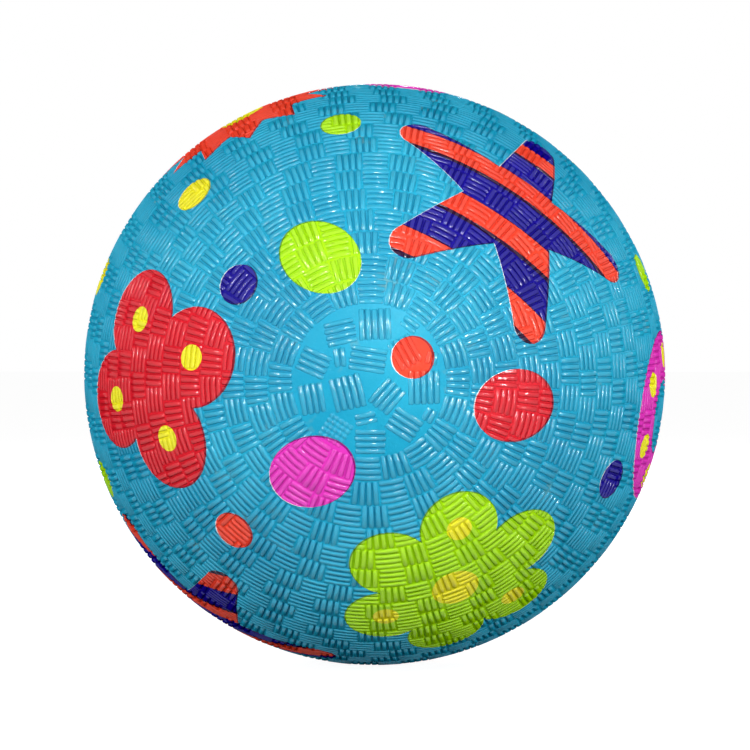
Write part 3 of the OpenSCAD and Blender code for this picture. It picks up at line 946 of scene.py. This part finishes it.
COVER_BASE, COVER_PALE, COVER_DEEP = srgb(34, 172, 209), srgb(43, 181, 216), srgb(24, 160, 198)
# The middle colour below is painted shade for the ribs' flanks and grooves. The others are specks and dust
COVER_SPECK, COVER_PAINTED_SHADE, COVER_DUST = srgb(84, 192, 218), srgb(12, 98, 136), srgb(128, 166, 156)


def cover_material():
    """Turquoise rubber, a little cloudy and speckled, with painted shade on its ribs' flanks and in its
    grooves, and dust in a few grooves.
    """
    made, tree, shader, space = new_material("cover_rubber", COVER_BASE, 0.30, specular=0.35)
    cloud = ramp(tree, noise(tree, space, scale=18.0, detail=4.0), 0.35, 0.65)
    colour = blended(tree, cloud, COVER_DEEP, COVER_PALE)
    speck = ramp(tree, noise(tree, space, scale=900.0, detail=2.0), 0.62, 0.78, out_high=0.25)
    colour = blended(tree, speck, colour, COVER_SPECK)
    rough = ramp(tree, noise(tree, space, scale=60.0, detail=4.0), 0.3, 0.7, SMOOTHEST, ROUGHEST)
    lift = glossed(tree, shader, rough)
    # Painted shade: the ribs' flanks and the grooves are darkened towards deep blue, standing in for shade
    painted_shade = painted_shade_share(tree, space, lift, most=0.50, sunk=0.28)
    colour = blended(tree, painted_shade, colour, COVER_PAINTED_SHADE)
    groove = ramp(tree, lift, 0.0, 0.35, out_low=1.0, out_high=0.0)
    dust = ramp(tree, noise(tree, space, scale=95.0), 0.62, 0.74, out_high=0.5)
    colour = blended(tree, combined(tree, groove, dust), colour, COVER_DUST)
    feed(shader.inputs["Base Color"], colour)
    bumped(tree, shader, noise(tree, space, GRAIN_SCALE, rough=0.65), strength=0.5, distance=0.00026)
    return made


def ink_material(name, colour, deep):
    """Printed ink, a little cloudy, with painted shade on the ribs' flanks and in the grooves below it."""
    made, tree, shader, space = new_material(name, colour, 0.28, specular=0.4)
    cloud = ramp(tree, noise(tree, space, scale=30.0, detail=4.0), 0.35, 0.7)
    flat = blended(tree, cloud, colour, deep)
    # A darker copy of the ink, painted as shade on the ribs' flanks and in the grooves
    dark = tuple(v * INK_PAINTED_SHADE_SHARE for v in colour[:3]) + (1.0,)
    rough = ramp(tree, noise(tree, space, scale=80.0, detail=4.0), 0.3, 0.7, SMOOTHEST, ROUGHEST)
    lift = glossed(tree, shader, rough)
    painted_shade = painted_shade_share(tree, space, lift, most=0.42, sunk=0.26)
    feed(shader.inputs["Base Color"], blended(tree, painted_shade, flat, dark))
    bumped(tree, shader, noise(tree, space, GRAIN_SCALE, rough=0.65), strength=0.4, distance=0.00022)
    return made


def plain_material(name, colour, other, roughness, scale):
    """Cloudy rubber of the pieces inside the ball, whose grain is twelve times finer than its clouds."""
    made, tree, shader, space = new_material(name, colour, roughness)
    cloud = ramp(tree, noise(tree, space, scale, detail=4.0), 0.35, 0.65)
    feed(shader.inputs["Base Color"], blended(tree, cloud, colour, other))
    bumped(tree, shader, noise(tree, space, scale * 12), strength=0.3, distance=0.0002)
    return made


def winding_material():
    """Nylon thread wound both ways in cement."""
    made, tree, shader, space = new_material("nylon_thread", srgb(222, 216, 196), 0.6)
    waves = []
    for direction in ("X", "Z"):
        wave = new_node(tree, "TexWave", Vector=space, Scale=260.0, Distortion=1.5)
        wave.bands_direction = direction
        waves.append(wave.outputs["Fac"])
    thread = combined(tree, *waves)
    colour = blended(tree, thread, srgb(190, 180, 152), srgb(232, 228, 212))
    feed(shader.inputs["Base Color"], colour)
    bumped(tree, shader, thread, strength=0.5, distance=0.0003)
    return made


def coat(thing, material):
    thing.data.materials.clear()
    thing.data.materials.append(material)


rubber = cover_material()
coat(cover_front, rubber)
coat(cover_back, rubber)
# Each ink over its white base and at its edge beside the base, as its colour and a deeper one
INK_COLOURS = {
    "navy": ((20, 8, 140), (26, 14, 158)), "edge_navy": ((16, 4, 84), (20, 6, 96)),
    "coral": ((255, 78, 52), (250, 68, 46)), "edge_coral": ((178, 44, 46), (160, 38, 44)),
    "lime": ((180, 238, 10), (170, 230, 6)), "edge_lime": ((104, 164, 24), (96, 152, 22)),
    "yellow": ((255, 248, 42), (246, 236, 34)), "edge_yellow": ((196, 196, 40), (186, 184, 40)),
    "red": ((230, 34, 50), (220, 28, 44)), "edge_red": ((150, 18, 46), (140, 16, 42)),
    "magenta": ((238, 62, 200), (228, 52, 188)), "edge_magenta": ((150, 20, 130), (138, 18, 120)),
    "overprint": ((38, 2, 48), (46, 4, 54)), "base": ((246, 248, 250), (236, 240, 244)),
}
for kind, (colour, deep) in INK_COLOURS.items():
    coat(ink_pieces[kind], ink_material(ink_pieces[kind].name, srgb(*colour), srgb(*deep)))
coat(nodes_of["winding"], winding_material())
# The rubbers inside the ball: their pieces, colour and cloud colour, roughness, and scale of the clouds
INNER_RUBBERS = {
    "butyl": (("bladder_front", "bladder_back"), (32, 32, 35), (44, 44, 48), 0.65, 40.0),
    "valve_rubber": (("valve_seat",), (58, 58, 62), (72, 72, 76), 0.55, 120.0),
    "core_rubber": (("valve_core",), (26, 26, 29), (38, 38, 42), 0.40, 150.0),
}
for name, (pieces, colour, other, roughness, scale) in INNER_RUBBERS.items():
    inner_rubber = plain_material(name, srgb(*colour), srgb(*other), roughness, scale)
    for piece in pieces:
        coat(nodes_of[piece], inner_rubber)


# Floor, light and camera

def stage_material(name, level, glow):
    """A pale surface that the camera and reflections see a little brighter, so that it comes out white."""
    made = bpy.data.materials.new(name)
    made.use_nodes = True
    tree = made.node_tree
    tree.nodes.clear()
    surface = new_node(tree, "BsdfDiffuse", Color=(level, level, level, 1))
    light = new_node(tree, "Emission", Color=(1, 1, 1, 1), Strength=seen_share(tree, glow))
    total = new_node(tree, "AddShader", surface.outputs[0], light.outputs[0])
    new_node(tree, "OutputMaterial", Surface=total.outputs[0])
    return made


def seen_share(tree, level):
    """A strength that is the level for camera, glossy and transmission rays and 0 for others."""
    path = new_node(tree, "LightPath").outputs
    seen = combined(tree, path["Is Camera Ray"], path["Is Glossy Ray"], "MAXIMUM")
    seen = combined(tree, seen, path["Is Transmission Ray"], "MAXIMUM")
    return ramp(tree, seen, 0.0, 1.0, out_high=level)


def area_light(name, place, size, power, glossy=True, diffuse=True):
    lamp = bpy.data.lights.new(name, "AREA")
    lamp.shape = "RECTANGLE"
    lamp.size, lamp.size_y = size
    lamp.energy = power
    made = bpy.data.objects.new(name, lamp)
    made.location = place
    made.rotation_mode = "QUATERNION"
    made.rotation_quaternion = (-Vector(place)).to_track_quat("-Z", "Y")
    made.visible_camera, made.visible_glossy, made.visible_diffuse = False, glossy, diffuse
    bpy.context.scene.collection.objects.link(made)


# The floor lies just below the ribs. It is a grey square that looks white. Its reach is in metres
FLOOR_GAP = 0.27
FLOOR_Z = -(BALL_R + FLOOR_GAP) * MM
FLOOR_REACH = 6.0
FLOOR_LEVEL, FLOOR_GLOW, WORLD_LEVEL = 0.24, 0.95, 0.12
floor_mesh = bpy.data.meshes.new("floor")
floor_corners = [(x * FLOOR_REACH, y * FLOOR_REACH, FLOOR_Z) for x, y in ((-1, -1), (1, -1), (1, 1), (-1, 1))]
floor_mesh.from_pydata(floor_corners, [], [(0, 1, 2, 3)])
floor = bpy.data.objects.new("floor", floor_mesh)
bpy.context.scene.collection.objects.link(floor)
coat(floor, stage_material("floor", FLOOR_LEVEL, FLOOR_GLOW))

world = bpy.data.worlds.new("studio")
world.use_nodes = True
bpy.context.scene.world = world
sky_tree = world.node_tree
sky = sky_tree.nodes["Background"]
feed(sky.inputs["Color"], (1, 1, 1, 1))
feed(sky.inputs["Strength"], ramp(sky_tree, seen_share(sky_tree, 1.0), 0.0, 1.0, out_low=WORLD_LEVEL))

# Lamps: place in metres, size and power. The last three are for the gloss alone
area_light("front", (0.22, -1.58, 0.82), (0.24, 0.34), 13.8)
area_light("front_left", (-1.05, -1.20, 0.25), (0.3, 0.8), 12.4, glossy=False)
area_light("front_right", (1.15, -1.10, 0.05), (0.3, 0.8), 14.2, glossy=False)
area_light("back", (0.0, 1.65, 0.60), (0.26, 0.42), 17.0)
area_light("back_left", (-1.20, 1.15, 0.40), (0.3, 0.8), 9.0)
area_light("back_right", (1.20, 1.15, 0.40), (0.3, 0.8), 9.0)
area_light("gloss_front", (0.19, -1.62, 0.74), (0.16, 0.26), 9.0, diffuse=False)
area_light("gloss_right", (1.22, -1.05, 0.12), (0.08, 0.80), 16.0, diffuse=False)
area_light("gloss_left", (-1.00, -1.15, 0.50), (0.08, 0.50), 11.0, diffuse=False)

# The ball's outline runs over the ribs. Its size and place are in pixels of the photograph
OUTLINE_LIFT = 0.20
SILHOUETTE_R = BALL_R + OUTLINE_LIFT
CAMERA_DISTANCE = 10 * BALL_R
SENSOR_W = 36.0
PHOTO_SIZE, PHOTO_RADIUS, PHOTO_CENTRE = 750, 290.6, (374.6, 374.55)
CAMERA_SIDE_DEG, CAMERA_UP_DEG = 1.0, 1.1
camera_data = bpy.data.cameras.new("camera")
camera_data.sensor_width = SENSOR_W
focal = PHOTO_RADIUS / math.tan(math.asin(SILHOUETTE_R / CAMERA_DISTANCE))
camera_data.lens = SENSOR_W * focal / PHOTO_SIZE
camera_data.shift_x = (PHOTO_SIZE / 2 - PHOTO_CENTRE[0]) / PHOTO_SIZE
camera_data.shift_y = (PHOTO_CENTRE[1] - PHOTO_SIZE / 2) / PHOTO_SIZE
camera = bpy.data.objects.new("camera", camera_data)
side, up = math.radians(CAMERA_SIDE_DEG), math.radians(CAMERA_UP_DEG)
away = Vector((math.sin(side) * math.cos(up), -math.cos(side) * math.cos(up), math.sin(up)))
camera.location = away * CAMERA_DISTANCE * MM
camera.rotation_mode = "QUATERNION"
camera.rotation_quaternion = (-away).to_track_quat("-Z", "Y")
bpy.context.scene.collection.objects.link(camera)
bpy.context.scene.camera = camera
bpy.context.scene.view_settings.view_transform = "Standard"
